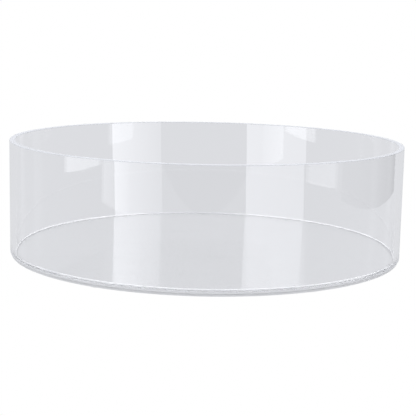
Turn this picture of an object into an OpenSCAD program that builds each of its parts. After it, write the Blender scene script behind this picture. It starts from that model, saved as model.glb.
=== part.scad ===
// Clear round display drum that turns on a low ball-bearing base.
// Origin: centre of the circle that the feet stand on. +Z is up and is the axis that the drum turns about.
// All sizes are in millimetres.

/* [Drum] */
// Outside diameter of the drum
outer_d = 350; // [250:5:500]
// Height of the whole stand, from the feet to the rim
total_h = 101.5; // [60:0.5:200]
// Thickness of the drum's tube wall
wall_t = 5; // [4:0.5:8]
// Thickness of the floor sheet
floor_t = 2.5; // [2.5:0.5:5]
// Depth of the step round the floor's edge that the tube stands in
rebate_h = 1; // [0.6:0.1:1]
// Thickness of the solvent cement between the floor and the tube
cement_t = 0.1; // [0.05:0.05:0.2]
// Radius of the polished edges at the rim
rim_round = 0.6; // [0.3:0.1:1]

/* [Base] */
// Thickness of the base sheet
base_t = 2; // [2:0.5:5]
// How far the base sheet's edge stands back from the drum's outside
base_setback = 1; // [0.5:0.5:2]
// Gap between the base sheet and the floor sheet
plate_gap = 0.3; // [0.3:0.1:0.6]
// Size of the bevel along the cut edges of both sheets
edge_bevel = 0.25; // [0.1:0.05:0.4]

/* [Bearing] */
// Diameter of one bearing ball
ball_d = 2.5; // [2:0.1:2.5]
// Number of balls in the race
ball_count = 36; // [18:6:60]
// How far the ball circle lies inside the drum's outside
race_inset = 5; // [5:0.5:8]
// Gap all round between a ball and its groove or pocket
ball_clearance = 0.05; // [0.05:0.01:0.08]
// Width of the ring that keeps the balls apart
cage_w = 4; // [3.6:0.1:4]
// Thickness of that ring
cage_t = 0.8; // [0.6:0.1:0.8]
// Depth of the shallow channel in each sheet that the ring runs in
channel_depth = 0.4; // [0.4:0.05:0.5]
// Gap beside the ring at each side of its channel
channel_side_gap = 0.5; // [0.4:0.1:0.5]

/* [Feet] */
// Diameter of one foot pad
pad_d = 8; // [6:1:8]
// Thickness of one foot pad
pad_t = 0.5; // [0.4:0.1:1]
// Number of foot pads
pad_count = 6; // [3:1:12]
// How far the circle of pads lies inside the ball circle
pad_inset = 1; // [1:1:30]

/* [Hidden] */
$fn = 180;

outer_r = outer_d / 2;
inner_r = outer_r - wall_t;
race_r = outer_r - race_inset;
base_r = outer_r - base_setback;
pad_circle_r = race_r - pad_inset;

base_z = pad_t;
base_top_z = base_z + base_t;
floor_z = base_top_z + plate_gap;
floor_top_z = floor_z + floor_t;
step_z = floor_top_z - rebate_h;
wall_z = step_z + cement_t;
ball_z = base_top_z + plate_gap / 2;

step_r = inner_r - cement_t;
groove_r = ball_d / 2 + ball_clearance;
channel_w = cage_w + 2 * channel_side_gap;
pocket_d = ball_d + 2 * ball_clearance;
arc_steps = 5;

clear_tint = [0.86, 0.89, 0.93, 0.35];
cement_tint = [0.93, 0.95, 0.97, 0.6];
ball_tint = [0.80, 0.84, 0.88, 0.60];
pad_tint = [0.84, 0.86, 0.88, 0.55];

// Points of a quarter circle about a centre, from one angle to 90 degrees further on
function quarter(centre, radius, from_angle) = [
    for (i = [0 : arc_steps])
        let (a = from_angle + 90 * i / arc_steps)
            centre + radius * [cos(a), sin(a)]
];

// A disc whose two cut edges are bevelled
module bevelled_disc(radius, height) {
    rotate_extrude()
        polygon([
            [0, 0],
            [radius - edge_bevel, 0],
            [radius, edge_bevel],
            [radius, height - edge_bevel],
            [radius - edge_bevel, height],
            [0, height]
        ]);
}

// The space that one sheet gives to the balls and their ring: a shallow channel, and a round groove at its middle
module race_space() {
    translate([0, 0, ball_z])
        rotate_extrude()
            translate([race_r, 0])
                union() {
                    circle(r = groove_r, $fn = 48);
                    square([channel_w, plate_gap + 2 * channel_depth], center = true);
                }
}

// The drum's wall: a length of tube with its rim edges rounded by polishing
module wall_ring() {
    color(clear_tint)
        rotate_extrude()
            polygon(concat(
                [[inner_r, wall_z], [outer_r, wall_z]],
                quarter([outer_r - rim_round, total_h - rim_round], rim_round, 0),
                quarter([inner_r + rim_round, total_h - rim_round], rim_round, 90)
            ));
}

// The drum's floor: a round sheet with a step for the wall above and the upper half of the ball race below
module floor_disc() {
    color(clear_tint)
        difference() {
            union() {
                translate([0, 0, floor_z])
                    bevelled_disc(outer_r, floor_t - rebate_h);
                translate([0, 0, floor_z + edge_bevel])
                    cylinder(h = floor_t - edge_bevel, r = step_r);
            }
            race_space();
        }
}

// The film of cured cement that fills the joint under the wall and beside the floor's step
module cement_ring() {
    color(cement_tint)
        rotate_extrude()
            polygon([
                [step_r, step_z],
                [outer_r - edge_bevel, step_z],
                [outer_r - edge_bevel, wall_z],
                [inner_r, wall_z],
                [inner_r, floor_top_z],
                [step_r, floor_top_z]
            ]);
}

// The thin ring that spaces the balls, with one round pocket for each
module ball_cage() {
    color(clear_tint)
        translate([0, 0, ball_z - cage_t / 2])
            difference() {
                cylinder(h = cage_t, r = race_r + cage_w / 2);
                translate([0, 0, -1])
                    cylinder(h = cage_t + 2, r = race_r - cage_w / 2);
                for (i = [0 : ball_count - 1])
                    rotate([0, 0, i * 360 / ball_count])
                        translate([race_r, 0, -1])
                            cylinder(h = cage_t + 2, d = pocket_d, $fn = 24);
            }
}

// The balls that carry the drum and keep it centred
module bearing_balls() {
    color(ball_tint)
        for (i = [0 : ball_count - 1])
            rotate([0, 0, i * 360 / ball_count])
                translate([race_r, 0, ball_z])
                    sphere(d = ball_d, $fn = 24);
}

// The still base: a round sheet with the lower half of the ball race
module base_plate() {
    color(clear_tint)
        difference() {
            translate([0, 0, base_z])
                bevelled_disc(base_r, base_t);
            race_space();
        }
}

// The soft pads under the base
module foot_pads() {
    color(pad_tint)
        for (i = [0 : pad_count - 1])
            rotate([0, 0, i * 360 / pad_count])
                translate([pad_circle_r, 0, 0])
                    cylinder(h = pad_t, d = pad_d, $fn = 48);
}

wall_ring();
floor_disc();
cement_ring();
ball_cage();
bearing_balls();
base_plate();
foot_pads();
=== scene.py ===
"""Looks of a clear round display drum that turns on a low ball-bearing base.

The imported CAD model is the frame. The drum's wall, floor and cement joint and the base sheet are
spun again here at a finer step, because clear plastic shows every facet. The balls, their ring and
the feet keep their CAD meshes.
"""

from __future__ import annotations

import logging
import math
from collections.abc import Callable, Sequence
from dataclasses import dataclass, field
from enum import Enum

import bmesh
import bpy
from mathutils import Matrix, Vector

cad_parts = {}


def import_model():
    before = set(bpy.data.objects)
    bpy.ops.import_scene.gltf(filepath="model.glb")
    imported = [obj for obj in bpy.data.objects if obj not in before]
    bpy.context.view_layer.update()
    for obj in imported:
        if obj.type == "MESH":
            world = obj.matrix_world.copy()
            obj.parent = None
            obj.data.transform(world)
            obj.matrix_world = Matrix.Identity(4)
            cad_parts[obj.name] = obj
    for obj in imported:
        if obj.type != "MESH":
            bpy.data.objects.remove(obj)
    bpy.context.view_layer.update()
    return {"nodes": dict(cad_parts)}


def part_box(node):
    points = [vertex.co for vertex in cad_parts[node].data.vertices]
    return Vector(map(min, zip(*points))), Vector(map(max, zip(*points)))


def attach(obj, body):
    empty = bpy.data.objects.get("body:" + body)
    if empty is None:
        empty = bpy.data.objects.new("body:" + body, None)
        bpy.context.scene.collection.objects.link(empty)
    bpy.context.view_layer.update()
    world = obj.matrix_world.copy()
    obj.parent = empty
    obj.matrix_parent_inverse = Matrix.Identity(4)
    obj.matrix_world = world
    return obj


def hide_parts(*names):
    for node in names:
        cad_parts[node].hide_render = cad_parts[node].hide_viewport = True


log = logging.getLogger("display_stand")

MM = 0.001
SPIN_STEPS = 360
SHARP_ANGLE = math.radians(5.0)
MERGE_DISTANCE = 0.001 * MM

Colour = tuple[float, float, float]
WHITE: Colour = (1.0, 1.0, 1.0)
Nodes = bpy.types.NodeTree
Socket = bpy.types.NodeSocket


class Body(str, Enum):
    """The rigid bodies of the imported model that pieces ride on."""

    BASE = "base"
    CAGE = "cage"
    DRUM = "drum"


class Slot(str, Enum):
    """The record's material slots."""

    WALL = "wall_acrylic"
    SHEET = "sheet_acrylic"
    CEMENT = "clear_cement"
    CAGE = "cage_plastic"
    BALLS = "ball_glass"
    PADS = "pad_silicone"


@dataclass(frozen=True)
class Corner:
    """One corner of a turned profile, in metres, with the radius that rounds it."""

    r: float
    z: float
    rounding: float = 0.0


# --------------------------------------------------------------------------------------------------
# Meshes
# --------------------------------------------------------------------------------------------------


def finish_mesh(bm: bmesh.types.BMesh, name: str) -> bpy.types.Object:
    """Closes a mesh, turns its faces outwards, smooths it between its real edges and links it.

    Args:
        bm: The mesh being built, which is freed.
        name: The piece's name.

    Returns:
        The new object, at the origin, with its place in its mesh.
    """
    bmesh.ops.remove_doubles(bm, verts=bm.verts[:], dist=MERGE_DISTANCE)
    bmesh.ops.recalc_face_normals(bm, faces=bm.faces[:])
    for face in bm.faces:
        face.smooth = True
    for edge in bm.edges:
        edge.smooth = edge.is_manifold and edge.calc_face_angle(0.0) < SHARP_ANGLE
    mesh = bpy.data.meshes.new(name)
    bm.to_mesh(mesh)
    bm.free()
    piece = bpy.data.objects.new(name, mesh)
    bpy.context.scene.collection.objects.link(piece)
    return piece


def turn_mesh(bm: bmesh.types.BMesh, degrees: float, axis: str) -> None:
    """Turns a whole mesh about one of the frame's axes.

    Args:
        bm: The mesh being built.
        degrees: How far it turns.
        axis: X, Y or Z.
    """
    turn = Matrix.Rotation(math.radians(degrees), 3, axis)
    bmesh.ops.rotate(bm, cent=(0.0, 0.0, 0.0), matrix=turn, verts=bm.verts[:])


def turned_piece(name: str, *profiles: Sequence[Corner], segments: int = 4) -> bpy.types.Object:
    """Spins closed profiles once round the Z axis, as on a lathe.

    Args:
        name: The piece's name.
        profiles: The corners of each profile in order, with the rounding of each.
        segments: How many steps round each rounded corner.

    Returns:
        The new object.
    """
    bm = bmesh.new()
    for corners in profiles:
        verts = [bm.verts.new((corner.r, 0.0, corner.z)) for corner in corners]
        bm.faces.new(verts)
        for vert, corner in zip(verts, corners):
            if corner.rounding > 0.0:
                bmesh.ops.bevel(
                    bm,
                    geom=[vert],
                    offset=corner.rounding,
                    offset_type="OFFSET",
                    segments=segments,
                    profile=0.5,
                    affect="VERTICES",
                    material=-1,
                )
    bmesh.ops.delete(bm, geom=bm.faces[:], context="FACES_ONLY")
    on_axis = [e for e in bm.edges if all(abs(v.co.x) < MERGE_DISTANCE for v in e.verts)]
    bmesh.ops.delete(bm, geom=on_axis, context="EDGES")
    bmesh.ops.spin(
        bm,
        geom=bm.verts[:] + bm.edges[:],
        cent=(0.0, 0.0, 0.0),
        axis=(0.0, 0.0, 1.0),
        dvec=(0.0, 0.0, 0.0),
        angle=math.tau,
        steps=SPIN_STEPS,
        use_merge=True,
        use_duplicate=False,
    )
    return finish_mesh(bm, name)


def arc(
    centre_r: float,
    centre_z: float,
    radius: float,
    start: float,
    sweep: float,
    steps: int,
) -> list[Corner]:
    """Corners along a round stretch of a profile.

    Args:
        centre_r: Distance of the arc's centre from the axis.
        centre_z: Height of the arc's centre.
        radius: The arc's radius.
        start: The first corner's angle, in degrees from the outward direction.
        sweep: How far the arc turns, in degrees.
        steps: How many straight steps it is made of.

    Returns:
        The corners, from the first end to the last.
    """
    angles = [math.radians(start + sweep * i / steps) for i in range(steps + 1)]
    return [Corner(centre_r + radius * math.cos(a), centre_z + radius * math.sin(a)) for a in angles]


# --------------------------------------------------------------------------------------------------
# Shared shader effects
# --------------------------------------------------------------------------------------------------


def new_group(name: str, inputs: dict[str, float], outputs: Sequence[str]) -> Nodes:
    """Starts a shader node group with plain number sockets.

    Args:
        name: The effect's name.
        inputs: Each input's name and its usual value.
        outputs: The outputs' names.

    Returns:
        The group, holding its input and output nodes.
    """
    group = bpy.data.node_groups.new(name, "ShaderNodeTree")
    for label, value in inputs.items():
        socket = group.interface.new_socket(name=label, in_out="INPUT", socket_type="NodeSocketFloat")
        socket.default_value = value
    for label in outputs:
        group.interface.new_socket(name=label, in_out="OUTPUT", socket_type="NodeSocketFloat")
    group.nodes.new("NodeGroupInput")
    group.nodes.new("NodeGroupOutput")
    return group


def math_node(tree: Nodes, operation: str, a: Socket | float, b: Socket | float = 0.0) -> Socket:
    """Adds one Math node.

    Args:
        tree: The tree that it goes in.
        operation: Blender's name for the operation.
        a: The first value or the socket that gives it.
        b: The second value or the socket that gives it.

    Returns:
        The result's socket.
    """
    node = tree.nodes.new("ShaderNodeMath")
    node.operation = operation
    for socket, value in zip(node.inputs, (a, b)):
        if isinstance(value, bpy.types.NodeSocket):
            tree.links.new(value, socket)
        else:
            socket.default_value = value
    return node.outputs[0]


def object_coordinates(tree: Nodes, scale: Colour = (1.0, 1.0, 1.0), turn: float = 0.0) -> Socket:
    """Gives a tree the place on the piece, stretched and turned.

    Args:
        tree: The tree that it goes in.
        scale: How many times each axis is stretched.
        turn: Turn about the Z axis, in degrees.

    Returns:
        The vector's socket.
    """
    place = tree.nodes.new("ShaderNodeTexCoord")
    mapping = tree.nodes.new("ShaderNodeMapping")
    mapping.inputs["Scale"].default_value = scale
    mapping.inputs["Rotation"].default_value = (0.0, 0.0, math.radians(turn))
    tree.links.new(place.outputs["Object"], mapping.inputs["Vector"])
    return mapping.outputs["Vector"]


def noise(tree: Nodes, vector: Socket, scale: float, detail: float = 2.0) -> Socket:
    """Adds a noise texture.

    Args:
        tree: The tree that it goes in.
        vector: The place that it reads.
        scale: Its scale, per metre.
        detail: How many finer layers it has.

    Returns:
        The value's socket.
    """
    node = tree.nodes.new("ShaderNodeTexNoise")
    node.inputs["Scale"].default_value = scale
    node.inputs["Detail"].default_value = detail
    tree.links.new(vector, node.inputs["Vector"])
    return node.outputs["Fac"]


def stretch(tree: Nodes, value: Socket, low: float, high: float) -> Socket:
    """Stretches a value so that low becomes 0 and high becomes 1, held between them.

    Args:
        tree: The tree that it goes in.
        value: The value's socket.
        low: What becomes 0.
        high: What becomes 1.

    Returns:
        The stretched value's socket.
    """
    node = tree.nodes.new("ShaderNodeMapRange")
    node.inputs["From Min"].default_value = low
    node.inputs["From Max"].default_value = high
    tree.links.new(value, node.inputs["Value"])
    return node.outputs["Result"]


def put_out(group: Nodes, value: Socket, output: str) -> Nodes:
    """Puts a value out of an effect's group, as strong as the group's Amount says.

    Args:
        group: The effect's group, which has an Amount input.
        value: The value's socket.
        output: The output's name.

    Returns:
        The finished group.
    """
    amount = group.nodes["Group Input"].outputs["Amount"]
    scaled = math_node(group, "MULTIPLY", value, amount)
    group.links.new(scaled, group.nodes["Group Output"].inputs[output])
    return group


class Effects:
    """The shader node groups that several finishes share, each built once."""

    def __init__(self) -> None:
        """Builds every group."""
        self.scratches = self._hairline_scratches()
        self.smudges = self._handling_smudges()
        self.waves = self._drawn_waves()
        self.bubbles = self._trapped_bubbles()

    @staticmethod
    def _hairline_scratches() -> Nodes:
        """Fine straight scratches from wiping, in three directions.

        Returns:
            The group, which puts out a mask.
        """
        group = new_group("hairline_scratches", {"Amount": 1.0}, ("Mask",))
        total: Socket | float = 0.0
        for turn, long_way in ((12.0, 9.0), (71.0, 12.0), (128.0, 10.0)):
            vector = object_coordinates(group, (long_way, 700.0, 500.0), turn)
            line = stretch(group, noise(group, vector, 1.0, 0.0), 0.72, 0.80)
            total = math_node(group, "ADD", total, line)
        return put_out(group, math_node(group, "MINIMUM", total, 1.0), "Mask")

    @staticmethod
    def _handling_smudges() -> Nodes:
        """Soft patches where hands and cloths have left a little haze.

        Returns:
            The group, which puts out a mask.
        """
        group = new_group("handling_smudges", {"Amount": 1.0}, ("Mask",))
        broad = stretch(group, noise(group, object_coordinates(group), 14.0, 3.0), 0.45, 0.75)
        streaked = object_coordinates(group, (1.0, 1.0, 2.5))
        fine = stretch(group, noise(group, streaked, 60.0, 4.0), 0.35, 0.70)
        return put_out(group, math_node(group, "MULTIPLY", broad, fine), "Mask")

    @staticmethod
    def _drawn_waves() -> Nodes:
        """The slow unevenness of a drawn tube or a cast sheet.

        Returns:
            The group, which puts out a height.
        """
        group = new_group("drawn_waves", {"Amount": 1.0}, ("Height",))
        slow = noise(group, object_coordinates(group, (1.0, 1.0, 0.35)), 9.0, 1.0)
        quick = noise(group, object_coordinates(group, (1.0, 1.0, 0.15)), 38.0, 1.0)
        mixed = math_node(group, "ADD", slow, math_node(group, "MULTIPLY", quick, 0.12))
        return put_out(group, mixed, "Height")

    @staticmethod
    def _trapped_bubbles() -> Nodes:
        """Small bubbles and gaps along a cemented joint.

        Returns:
            The group, which puts out a mask.
        """
        group = new_group("trapped_bubbles", {"Amount": 1.0}, ("Mask",))
        cells = group.nodes.new("ShaderNodeTexVoronoi")
        cells.inputs["Scale"].default_value = 700.0
        group.links.new(object_coordinates(group), cells.inputs["Vector"])
        dots = stretch(group, cells.outputs["Distance"], 0.35, 0.15)
        gaps = stretch(group, noise(group, object_coordinates(group), 30.0, 2.0), 0.25, 0.45)
        return put_out(group, math_node(group, "MAXIMUM", dots, gaps), "Mask")


def new_finish(name: str) -> tuple[bpy.types.Material, Nodes, bpy.types.Node]:
    """Starts a material with one Principled shader.

    Args:
        name: The material's name.

    Returns:
        The material, its tree and its shader.
    """
    material = bpy.data.materials.new(name)
    material.use_nodes = True
    tree = material.node_tree
    return material, tree, tree.nodes["Principled BSDF"]


def place_effect(tree: Nodes, group: Nodes, amount: float, output: str) -> Socket:
    """Places a shared effect in a material.

    Args:
        tree: The material's tree.
        group: The effect's group.
        amount: How strong it is here.
        output: The name of the output that is wanted.

    Returns:
        That output's socket.
    """
    node = tree.nodes.new("ShaderNodeGroup")
    node.node_tree = group
    node.inputs["Amount"].default_value = amount
    return node.outputs[output]


# --------------------------------------------------------------------------------------------------
# Finishes
# --------------------------------------------------------------------------------------------------


@dataclass(frozen=True)
class ClearFinish:
    """A clear plastic or glass, with what handling has left on it."""

    name: str
    tint: Colour
    index: float
    gloss: float
    haze: float
    scratch: float
    wave_height: float
    transmission: float = 1.0

    def build(self, effects: Effects) -> bpy.types.Material:
        """Makes the material.

        Args:
            effects: The shared shader effects.

        Returns:
            The material.
        """
        material, tree, shader = new_finish(self.name)
        shader.inputs["Base Color"].default_value = (*self.tint, 1.0)
        shader.inputs["IOR"].default_value = self.index
        shader.inputs["Transmission Weight"].default_value = self.transmission
        smudge = place_effect(tree, effects.smudges, self.haze, "Mask")
        scratch = place_effect(tree, effects.scratches, self.scratch, "Mask")
        wear = math_node(tree, "ADD", smudge, scratch)
        tree.links.new(math_node(tree, "ADD", wear, self.gloss), shader.inputs["Roughness"])
        bump = tree.nodes.new("ShaderNodeBump")
        bump.inputs["Strength"].default_value = 1.0
        bump.inputs["Distance"].default_value = self.wave_height
        tree.links.new(place_effect(tree, effects.waves, 1.0, "Height"), bump.inputs["Height"])
        tree.links.new(bump.outputs["Normal"], shader.inputs["Normal"])
        return material


@dataclass(frozen=True)
class CementFinish:
    """Cured solvent cement in a bead beside the joint, milky with bubbles and lit right through, with
    painted shade as a darker grey on a stretch at the back.
    """

    name: str
    # Darker grey for the bead's clear patches, which is also the painted shade on the stretch at the
    # back.
    clear_and_painted_shade_tint: Colour
    milky_tint: Colour
    index: float
    glow_depth: float
    # Bearing and half width of the stretch at the back, across from the camera, where shade is painted
    # darker.
    painted_shade_bearing: float
    painted_shade_half_width: float
    fade_width: float = 8.0
    clear_roughness: float = 0.08
    milky_roughness: float = 0.35

    def build(self, effects: Effects) -> bpy.types.Material:
        """Makes the material.

        Args:
            effects: The shared shader effects.

        Returns:
            The material.
        """
        material, tree, shader = new_finish(self.name)
        shader.inputs["IOR"].default_value = self.index
        shader.inputs["Subsurface Weight"].default_value = 1.0
        shader.inputs["Subsurface Radius"].default_value = (1.0, 1.0, 1.0)
        shader.inputs["Subsurface Scale"].default_value = self.glow_depth
        bubbles = place_effect(tree, effects.bubbles, 1.0, "Mask")
        # The milky tint is left out on the stretch at the back, where the darker grey is painted shade.
        milky = math_node(tree, "MULTIPLY", bubbles, self._away_from_painted_shade(tree))
        mix = tree.nodes.new("ShaderNodeMix")
        mix.data_type = "RGBA"
        mix.inputs["A"].default_value = (*self.clear_and_painted_shade_tint, 1.0)
        mix.inputs["B"].default_value = (*self.milky_tint, 1.0)
        tree.links.new(milky, mix.inputs["Factor"])
        tree.links.new(mix.outputs["Result"], shader.inputs["Base Color"])
        rough = math_node(tree, "MULTIPLY_ADD", milky, self.milky_roughness)
        rough.node.inputs[2].default_value = self.clear_roughness
        tree.links.new(rough, shader.inputs["Roughness"])
        return material

    def _away_from_painted_shade(self, tree: Nodes) -> Socket:
        """How far round the joint is from the stretch painted darker as shade, from 0 in it to 1 well
        away.

        Args:
            tree: The material's tree.

        Returns:
            The mask's socket.
        """
        bearing = math.radians(self.painted_shade_bearing)
        dot = tree.nodes.new("ShaderNodeVectorMath")
        dot.operation = "DOT_PRODUCT"
        dot.inputs[1].default_value = (math.sin(bearing), math.cos(bearing), 0.0)
        flat = tree.nodes.new("ShaderNodeVectorMath")
        flat.operation = "NORMALIZE"
        tree.links.new(object_coordinates(tree, (1.0, 1.0, 0.0)), flat.inputs[0])
        tree.links.new(flat.outputs["Vector"], dot.inputs[0])
        near = math.cos(math.radians(self.painted_shade_half_width))
        far = math.cos(math.radians(self.painted_shade_half_width + self.fade_width))
        return stretch(tree, dot.outputs["Value"], near, far)


@dataclass(frozen=True)
class EdgeFinish:
    """A sawn and rubbed-down edge of clear sheet or tube, which catches the light."""

    name: str
    tint: Colour
    index: float
    transmission: float
    roughness: float
    saw_depth: float
    scratch: float = 0.2

    def build(self, effects: Effects) -> bpy.types.Material:
        """Makes the material.

        Args:
            effects: The shared shader effects.

        Returns:
            The material.
        """
        material, tree, shader = new_finish(self.name)
        shader.inputs["Base Color"].default_value = (*self.tint, 1.0)
        shader.inputs["IOR"].default_value = self.index
        shader.inputs["Transmission Weight"].default_value = self.transmission
        scratch = place_effect(tree, effects.scratches, self.scratch, "Mask")
        tree.links.new(math_node(tree, "ADD", scratch, self.roughness), shader.inputs["Roughness"])
        bump = tree.nodes.new("ShaderNodeBump")
        bump.inputs["Distance"].default_value = self.saw_depth
        tree.links.new(place_effect(tree, effects.waves, 1.0, "Height"), bump.inputs["Height"])
        tree.links.new(bump.outputs["Normal"], shader.inputs["Normal"])
        return material


@dataclass(frozen=True)
class Finishes:
    """Every finish on the stand."""

    wall: ClearFinish = ClearFinish(
        name="drawn_acrylic_tube",
        tint=(0.994, 0.995, 0.997),
        index=1.49,
        gloss=0.0,
        haze=0.03,
        scratch=0.05,
        wave_height=0.05 * MM,
    )
    sheet: ClearFinish = ClearFinish(
        name="cast_acrylic_sheet",
        tint=(0.996, 0.997, 0.998),
        index=1.49,
        gloss=0.0,
        haze=0.03,
        scratch=0.08,
        wave_height=0.03 * MM,
    )
    rim: EdgeFinish = EdgeFinish(
        name="rubbed_rim",
        tint=(0.56, 0.57, 0.59),
        index=1.49,
        transmission=0.15,
        roughness=0.25,
        saw_depth=0.01 * MM,
    )
    edge: EdgeFinish = EdgeFinish(
        name="sawn_sheet_edge",
        tint=(0.71, 0.715, 0.73),
        index=1.49,
        transmission=0.25,
        roughness=0.35,
        saw_depth=0.02 * MM,
    )
    cage: ClearFinish = ClearFinish(
        name="moulded_clear_ring",
        tint=(0.985, 0.988, 0.99),
        index=1.58,
        gloss=0.06,
        haze=0.05,
        scratch=0.02,
        wave_height=0.01 * MM,
    )
    balls: ClearFinish = ClearFinish(
        name="polished_clear_ball",
        tint=(0.985, 0.99, 0.992),
        index=1.52,
        gloss=0.0,
        haze=0.02,
        scratch=0.0,
        wave_height=0.002 * MM,
    )
    pads: ClearFinish = ClearFinish(
        name="clear_silicone",
        tint=(0.97, 0.975, 0.98),
        index=1.41,
        gloss=0.28,
        haze=0.1,
        scratch=0.0,
        wave_height=0.02 * MM,
        transmission=0.9,
    )
    film: ClearFinish = ClearFinish(
        name="clear_cement_film",
        tint=(0.998, 0.999, 1.0),
        index=1.49,
        gloss=0.0,
        haze=0.0,
        scratch=0.0,
        wave_height=0.002 * MM,
    )
    bead: CementFinish = CementFinish(
        name="milky_cement_bead",
        # The grey is painted shade on the stretch at the back, and also the tint of the bead's clear
        # patches.
        clear_and_painted_shade_tint=(0.62, 0.63, 0.65),
        milky_tint=(0.98, 0.985, 0.99),
        index=1.49,
        glow_depth=0.3 * MM,
        painted_shade_bearing=-4.0,
        painted_shade_half_width=13.0,
    )


def dress(piece: bpy.types.Object, *materials: bpy.types.Material) -> None:
    """Gives a piece its materials in place of any that it had.

    Args:
        piece: The piece.
        materials: Its main material, and after it any that only some faces have.
    """
    piece.data.materials.clear()
    for material in materials:
        piece.data.materials.append(material)


def mark_edges(piece: bpy.types.Object, is_edge: Callable[[float, float], bool]) -> None:
    """Gives the sawn edges of a turned piece its second material.

    Args:
        piece: The piece.
        is_edge: Tells from a face's radius and height whether it is part of a sawn edge.
    """
    for face in piece.data.polygons:
        radius = math.hypot(face.center.x, face.center.y)
        face.material_index = 1 if is_edge(radius, face.center.z) else 0


# --------------------------------------------------------------------------------------------------
# Sub-assemblies
# --------------------------------------------------------------------------------------------------


@dataclass
class Race:
    """The ball race that both sheets are cut for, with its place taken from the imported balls."""

    groove_radius: float = 1.3 * MM
    channel_half_width: float = 2.5 * MM
    channel_depth: float = 0.4 * MM
    arc_steps: int = 12
    circle_r: float = field(init=False)
    ball_z: float = field(init=False)

    def __post_init__(self) -> None:
        """Reads the ball circle's radius and height from the frame."""
        low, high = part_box("bearing_balls")
        ball_radius = (high.z - low.z) / 2
        self.circle_r = high.x - ball_radius
        self.ball_z = (high.z + low.z) / 2

    def cut(self, face_z: float, side: int) -> list[Corner]:
        """The race's cut in one sheet's face, from the inner lip to the outer one.

        Args:
            face_z: Height of the face that is cut.
            side: 1 where the sheet lies above its cut face and -1 where it lies below.

        Returns:
            The corners of the channel and of the groove at its middle.
        """
        channel_z = face_z + side * self.channel_depth
        half_angle = math.asin((channel_z - self.ball_z) * side / self.groove_radius)
        sweep = 180.0 - 2 * math.degrees(half_angle)
        start = side * (180.0 - math.degrees(half_angle))
        turn = -side * sweep
        groove = arc(self.circle_r, self.ball_z, self.groove_radius, start, turn, self.arc_steps)
        inner_r = self.circle_r - self.channel_half_width
        outer_r = self.circle_r + self.channel_half_width
        return [
            Corner(inner_r, face_z),
            Corner(inner_r, channel_z),
            *groove,
            Corner(outer_r, channel_z),
            Corner(outer_r, face_z),
        ]


@dataclass
class Drum:
    """The clear drum: a tube cemented to a round floor sheet."""

    race: Race
    rim_rounding: float = 0.6 * MM
    edge_rounding: float = 0.25 * MM
    wall_thickness: float = 5.0 * MM
    cement_thickness: float = 0.1 * MM
    air_line: float = 0.02 * MM
    bead_size: float = 0.6 * MM
    bead_steps: int = 6

    def build(self, finishes: Finishes, effects: Effects) -> None:
        """Makes and dresses the drum's pieces.

        Args:
            finishes: The finishes.
            effects: The shared shader effects.
        """
        wall = self._wall()
        floor = self._floor()
        bead = self._cement()
        edge = finishes.edge.build(effects)
        dress(wall, finishes.wall.build(effects), finishes.rim.build(effects))
        dress(floor, finishes.sheet.build(effects), edge)
        dress(bead, finishes.film.build(effects), finishes.bead.build(effects))
        rim_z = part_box("wall_ring")[1].z - self.rim_rounding
        edge_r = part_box("floor_disc")[1].x - self.edge_rounding
        mark_edges(wall, lambda r, z: z > rim_z)
        mark_edges(floor, lambda r, z: r > edge_r)
        bead_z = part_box("wall_ring")[0].z
        mark_edges(bead, lambda r, z: z > bead_z)
        for piece, node, slot in (
            (wall, "wall_ring", Slot.WALL),
            (floor, "floor_disc", Slot.SHEET),
            (bead, "cement_ring", Slot.CEMENT),
        ):
            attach(piece, Body.DRUM.value)
            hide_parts(node)
            log.info("%s stands for %s", piece.name, node)

    def _wall(self) -> bpy.types.Object:
        """The tube, with its rim polished round and its lower end eased.

        Returns:
            The piece.
        """
        low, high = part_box("wall_ring")
        outer = high.x
        inner = outer - self.wall_thickness
        return turned_piece(
            "drum_wall",
            (
                Corner(inner, low.z, self.edge_rounding),
                Corner(outer, low.z, self.edge_rounding),
                Corner(outer, high.z, self.rim_rounding),
                Corner(inner, high.z, self.rim_rounding),
            ),
        )

    def _step_radius(self) -> float:
        """Radius of the floor's raised middle, which the wall slips over."""
        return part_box("floor_disc")[1].x - self.wall_thickness - self.cement_thickness

    def _floor(self) -> bpy.types.Object:
        """The floor sheet, stepped for the wall above and cut for the ball race below.

        Returns:
            The piece.
        """
        low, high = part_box("floor_disc")
        cement_low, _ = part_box("cement_ring")
        step_r = self._step_radius()
        return turned_piece(
            "drum_floor",
            (
                Corner(0.0, low.z),
                *self.race.cut(low.z, 1),
                Corner(high.x, low.z, self.edge_rounding),
                Corner(high.x, cement_low.z, self.edge_rounding),
                Corner(step_r, cement_low.z),
                Corner(step_r, high.z),
                Corner(0.0, high.z),
            ),
        )

    def _cement(self) -> bpy.types.Object:
        """The cement's film under and beside the wall, with the small bead that squeezed out inside.

        Returns:
            The piece, in two rings: the film under the wall, and the bead with the film beside it.
        """
        low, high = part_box("cement_ring")
        wall_low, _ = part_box("wall_ring")
        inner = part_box("wall_ring")[1].x - self.wall_thickness
        step_r = self._step_radius()
        gap = self.air_line
        size = self.bead_size
        bead = arc(inner - size, high.z + size, size - gap, -90.0, 90.0, self.bead_steps)
        low_z = wall_low.z + gap
        return turned_piece(
            "cement_bead",
            (
                Corner(step_r + gap, low.z + gap),
                Corner(high.x - gap, low.z + gap),
                Corner(high.x - gap, wall_low.z - gap),
                Corner(step_r + gap, wall_low.z - gap),
            ),
            (
                *bead,
                Corner(inner - gap, low_z),
                Corner(step_r + gap, low_z),
                Corner(step_r + gap, high.z + gap),
            ),
        )


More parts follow.
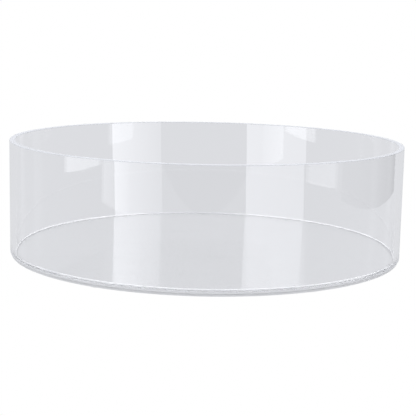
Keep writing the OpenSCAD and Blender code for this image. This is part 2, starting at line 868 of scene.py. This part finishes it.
@dataclass
class Turntable:
    """The still base and the ball race that the drum turns on."""

    race: Race
    edge_rounding: float = 0.25 * MM
    air_line: float = 0.02 * MM

    def build(self, finishes: Finishes, effects: Effects) -> None:
        """Makes and dresses the base sheet.

        Args:
            finishes: The finishes.
            effects: The shared shader effects.
        """
        sheet = self._base_sheet()
        clear = bpy.data.materials.get(finishes.sheet.name) or finishes.sheet.build(effects)
        edge = bpy.data.materials.get(finishes.edge.name) or finishes.edge.build(effects)
        dress(sheet, clear, edge)
        edge_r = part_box("base_plate")[1].x - self.edge_rounding
        mark_edges(sheet, lambda r, z: r > edge_r)
        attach(sheet, Body.BASE.value)
        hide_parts("base_plate")
        log.info("%s stands for base_plate", sheet.name)

    def _base_sheet(self) -> bpy.types.Object:
        """The base sheet, cut for the ball race above and a hair clear of the feet below.

        Returns:
            The piece.
        """
        low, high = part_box("base_plate")
        low_z = low.z + self.air_line
        return turned_piece(
            "base_sheet",
            (
                Corner(0.0, low_z),
                Corner(high.x, low_z, self.edge_rounding),
                Corner(high.x, high.z, self.edge_rounding),
                *reversed(self.race.cut(high.z, -1)),
                Corner(0.0, high.z),
            ),
        )

    @staticmethod
    def dress_cad_nodes(
        nodes: dict[str, bpy.types.Object],
        finishes: Finishes,
        effects: Effects,
    ) -> None:
        """Gives the CAD balls, ring and feet their finishes.

        Args:
            nodes: The frame's nodes.
            finishes: The finishes.
            effects: The shared shader effects.
        """
        for node, finish, slot in (
            ("bearing_balls", finishes.balls, Slot.BALLS),
            ("ball_cage", finishes.cage, Slot.CAGE),
            ("foot_pads", finishes.pads, Slot.PADS),
        ):
            dress(nodes[node], finish.build(effects))
            log.info("%s keeps its CAD mesh", node)


# --------------------------------------------------------------------------------------------------
# Studio
# --------------------------------------------------------------------------------------------------


@dataclass(frozen=True)
class Panel:
    """A flat light or a darker card that stands round the object and faces it.

    Its bearing and its lean are in degrees. The bearing is from -Y round towards +X, and the lean
    tips what stands above the floor towards a greater bearing.
    """

    name: str
    bearing: float
    distance: float
    width: float
    low: float
    high: float
    left_light: float
    right_light: float
    lean: float = 0.0
    is_card: bool = False


@dataclass
class Studio:
    """A pale floor, a bright surround, soft panels and the camera.

    The camera's angles are in degrees and its lens is in millimetres. The room is as bright as
    front_light where a direction's Y is below front_depth and as room_light where it is above
    room_depth. It is brighter overhead, from where a direction's Z is ceiling_low.
    """

    view_distance: float = 0.9957
    view_height: float = 0.2085
    tilt_down: float = 9.647
    turn: float = 0.118
    roll: float = -1.197
    lens: float = 96.29
    sensor: float = 36.0
    light_tint: Colour = (0.99, 1.0, 1.038)
    room_light: float = 0.735
    front_light: float = 0.58
    front_depth: float = -0.9
    room_depth: float = 0.6
    ceiling_light: float = 1.6
    ceiling_low: float = 0.35
    ceiling_high: float = 0.55
    floor_size: float = 6.0
    overhead_light: float = 2.2
    overhead_size: float = 1.5
    overhead_height: float = 1.3
    card_radius: float = 1.6
    card_light: float = 0.05
    card_low: float = -0.11
    card_distance: float = 1.15
    card_segments: int = 96
    light_bounces: int = 96
    panels: tuple[Panel, ...] = (
        Panel(
            name="left_rear_strip",
            bearing=-164.7,
            distance=0.311,
            width=0.0590,
            low=-0.30,
            high=0.30,
            left_light=0.80,
            right_light=0.93,
            lean=1.2,
        ),
        Panel(
            name="right_rear_strip",
            bearing=164.4,
            distance=0.311,
            width=0.0725,
            low=-0.30,
            high=0.30,
            left_light=0.85,
            right_light=0.88,
            lean=1.2,
        ),
        Panel(
            name="left_softbox",
            bearing=-68.0,
            distance=1.1,
            width=0.45,
            low=-0.04,
            high=0.06,
            left_light=2.1,
            right_light=2.1,
            lean=-2.5,
        ),
        Panel(
            name="left_reflector",
            bearing=-47.0,
            distance=1.1,
            width=0.29,
            low=-0.10,
            high=0.06,
            left_light=1.75,
            right_light=0.80,
            lean=4.0,
        ),
        Panel(
            name="right_softbox",
            bearing=62.5,
            distance=1.1,
            width=0.36,
            low=-0.058,
            high=0.06,
            left_light=1.5,
            right_light=1.5,
            lean=2.0,
        ),
        Panel(
            name="right_flag",
            bearing=102.0,
            distance=1.1,
            width=1.1,
            low=-0.105,
            high=1.2,
            left_light=0.20,
            right_light=0.02,
            is_card=True,
        ),
    )

    def build(self) -> None:
        """Makes the camera, floor, surround and panels, and sets how light is followed."""
        self._camera()
        self._floor()
        self._surround()
        self._overhead()
        self._front_card()
        for panel in self.panels:
            self._panel(panel)
        scene = bpy.context.scene
        scene.view_settings.view_transform = "Standard"
        scene.cycles.max_bounces = self.light_bounces
        scene.cycles.transmission_bounces = self.light_bounces
        scene.cycles.glossy_bounces = self.light_bounces
        scene.cycles.blur_glossy = 0.0

    def _camera(self) -> None:
        """The camera, a little above the rim, tilted down and rolled slightly."""
        data = bpy.data.cameras.new("camera")
        data.lens = self.lens
        data.sensor_width = self.sensor
        data.clip_start = 0.01
        camera = bpy.data.objects.new("camera", data)
        bpy.context.scene.collection.objects.link(camera)
        upright = Matrix.Rotation(math.radians(90.0 - self.tilt_down), 4, "X")
        turned = Matrix.Rotation(math.radians(-self.turn), 4, "Z")
        rolled = Matrix.Rotation(math.radians(-self.roll), 4, "Z")
        place = Matrix.Translation((0.0, -self.view_distance, self.view_height))
        camera.matrix_world = place @ turned @ upright @ rolled
        bpy.context.scene.camera = camera

    def _floor(self) -> None:
        """The pale floor, which the plastic neither bends nor mirrors."""
        bm = bmesh.new()
        bmesh.ops.create_grid(bm, x_segments=1, y_segments=1, size=self.floor_size)
        floor = finish_mesh(bm, "studio_floor")
        dress(floor, self._glow("pale_floor", 1.0, 1.0, WHITE))
        floor.visible_glossy = False
        floor.visible_transmission = False
        floor.visible_shadow = False

    @staticmethod
    def _glow(name: str, left: float, right: float, tint: Colour) -> bpy.types.Material:
        """A material that only shines, and fades from one side of a panel to the other.

        Args:
            name: Its name.
            left: Brightness at the panel's left side.
            right: Brightness at its right side.
            tint: Its colour.

        Returns:
            The material.
        """
        material = bpy.data.materials.new(name)
        material.use_nodes = True
        tree = material.node_tree
        tree.nodes.clear()
        output = tree.nodes.new("ShaderNodeOutputMaterial")
        glow = tree.nodes.new("ShaderNodeEmission")
        glow.inputs["Color"].default_value = (*tint, 1.0)
        glow.inputs["Strength"].default_value = left
        if left != right:
            across = tree.nodes.new("ShaderNodeUVMap")
            split = tree.nodes.new("ShaderNodeSeparateXYZ")
            fade = tree.nodes.new("ShaderNodeMapRange")
            fade.inputs["To Min"].default_value = left
            fade.inputs["To Max"].default_value = right
            tree.links.new(across.outputs["UV"], split.inputs["Vector"])
            tree.links.new(split.outputs["X"], fade.inputs["Value"])
            tree.links.new(fade.outputs["Result"], glow.inputs["Strength"])
        tree.links.new(glow.outputs["Emission"], output.inputs["Surface"])
        return material

    def _surround(self) -> None:
        """The world: white to the camera, and a soft grey room in the plastic."""
        world = bpy.data.worlds.new("studio")
        world.use_nodes = True
        tree = world.node_tree
        tree.nodes.clear()
        output = tree.nodes.new("ShaderNodeOutputWorld")
        mix = tree.nodes.new("ShaderNodeMixShader")
        white = tree.nodes.new("ShaderNodeBackground")
        room = tree.nodes.new("ShaderNodeBackground")
        path = tree.nodes.new("ShaderNodeLightPath")
        white.inputs["Color"].default_value = (*WHITE, 1.0)
        room.inputs["Color"].default_value = (*self.light_tint, 1.0)
        direction = tree.nodes.new("ShaderNodeTexCoord")
        split = tree.nodes.new("ShaderNodeSeparateXYZ")
        depth = tree.nodes.new("ShaderNodeMapRange")
        depth.interpolation_type = "SMOOTHSTEP"
        depth.inputs["From Min"].default_value = self.front_depth
        depth.inputs["From Max"].default_value = self.room_depth
        depth.inputs["To Min"].default_value = self.front_light
        depth.inputs["To Max"].default_value = self.room_light
        tree.links.new(direction.outputs["Generated"], split.inputs["Vector"])
        tree.links.new(split.outputs["Y"], depth.inputs["Value"])
        ceiling = stretch(tree, split.outputs["Z"], self.ceiling_low, self.ceiling_high)
        above = math_node(tree, "MULTIPLY", ceiling, self.ceiling_light - self.room_light)
        strength = math_node(tree, "ADD", depth.outputs["Result"], above)
        tree.links.new(strength, room.inputs["Strength"])
        tree.links.new(path.outputs["Is Camera Ray"], mix.inputs["Fac"])
        tree.links.new(room.outputs["Background"], mix.inputs[1])
        tree.links.new(white.outputs["Background"], mix.inputs[2])
        tree.links.new(mix.outputs["Shader"], output.inputs["Surface"])
        bpy.context.scene.world = world

    @staticmethod
    def _stand_off(piece: bpy.types.Object) -> None:
        """Keeps a light or a card out of the picture itself.

        Args:
            piece: The light or the card.
        """
        piece.visible_camera = False
        piece.visible_shadow = False

    @staticmethod
    def _mirrored_only(piece: bpy.types.Object) -> None:
        """Lets a darker card show in mirrored light only, so that it takes no light from the plastic.

        Args:
            piece: The card.
        """
        piece.visible_diffuse = False
        piece.visible_transmission = False

    def _overhead(self) -> None:
        """The large soft light above, which draws the rounded rims and the cemented joint bright."""
        bm = bmesh.new()
        bmesh.ops.create_grid(bm, x_segments=1, y_segments=1, size=self.overhead_size / 2)
        bmesh.ops.translate(bm, vec=(0.0, 0.0, self.overhead_height), verts=bm.verts[:])
        piece = finish_mesh(bm, "overhead_softbox")
        light = self.overhead_light
        dress(piece, self._glow("overhead_softbox", light, light, self.light_tint))
        self._stand_off(piece)

    def _front_card(self) -> None:
        """The darker round card in front, mirrored softly in the middle of the wall."""
        bm = bmesh.new()
        bmesh.ops.create_circle(bm, cap_ends=True, segments=self.card_segments, radius=self.card_radius)
        turn_mesh(bm, 90.0, "X")
        centre_z = self.card_low + self.card_radius
        bmesh.ops.translate(bm, vec=(0.0, -self.card_distance, centre_z), verts=bm.verts[:])
        piece = finish_mesh(bm, "front_card")
        light = self.card_light
        dress(piece, self._glow("front_card", light, light, self.light_tint))
        self._stand_off(piece)
        self._mirrored_only(piece)

    def _panel(self, panel: Panel) -> None:
        """One panel, upright and facing the object.

        Args:
            panel: Its place, size and brightness.
        """
        bm = bmesh.new()
        bm.loops.layers.uv.new("across")
        bmesh.ops.create_grid(bm, x_segments=1, y_segments=1, size=0.5, calc_uvs=True)
        bmesh.ops.scale(bm, vec=(panel.width, panel.high - panel.low, 1.0), verts=bm.verts[:])
        turn_mesh(bm, 90.0, "X")
        middle_z = (panel.high + panel.low) / 2
        bmesh.ops.translate(bm, vec=(0.0, -panel.distance, middle_z), verts=bm.verts[:])
        turn_mesh(bm, panel.lean, "Y")
        turn_mesh(bm, panel.bearing, "Z")
        piece = finish_mesh(bm, panel.name)
        dress(piece, self._glow(panel.name, panel.left_light, panel.right_light, self.light_tint))
        self._stand_off(piece)
        if panel.is_card:
            self._mirrored_only(piece)


def main() -> None:
    """Builds the stand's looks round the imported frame, and its studio."""
    logging.basicConfig(level=logging.INFO, format="%(name)s: %(message)s")
    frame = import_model()
    finishes = Finishes()
    effects = Effects()
    race = Race()
    Studio().build()
    Drum(race).build(finishes, effects)
    turntable = Turntable(race)
    turntable.build(finishes, effects)
    turntable.dress_cad_nodes(frame["nodes"], finishes, effects)


if __name__ == "__main__":
    main()
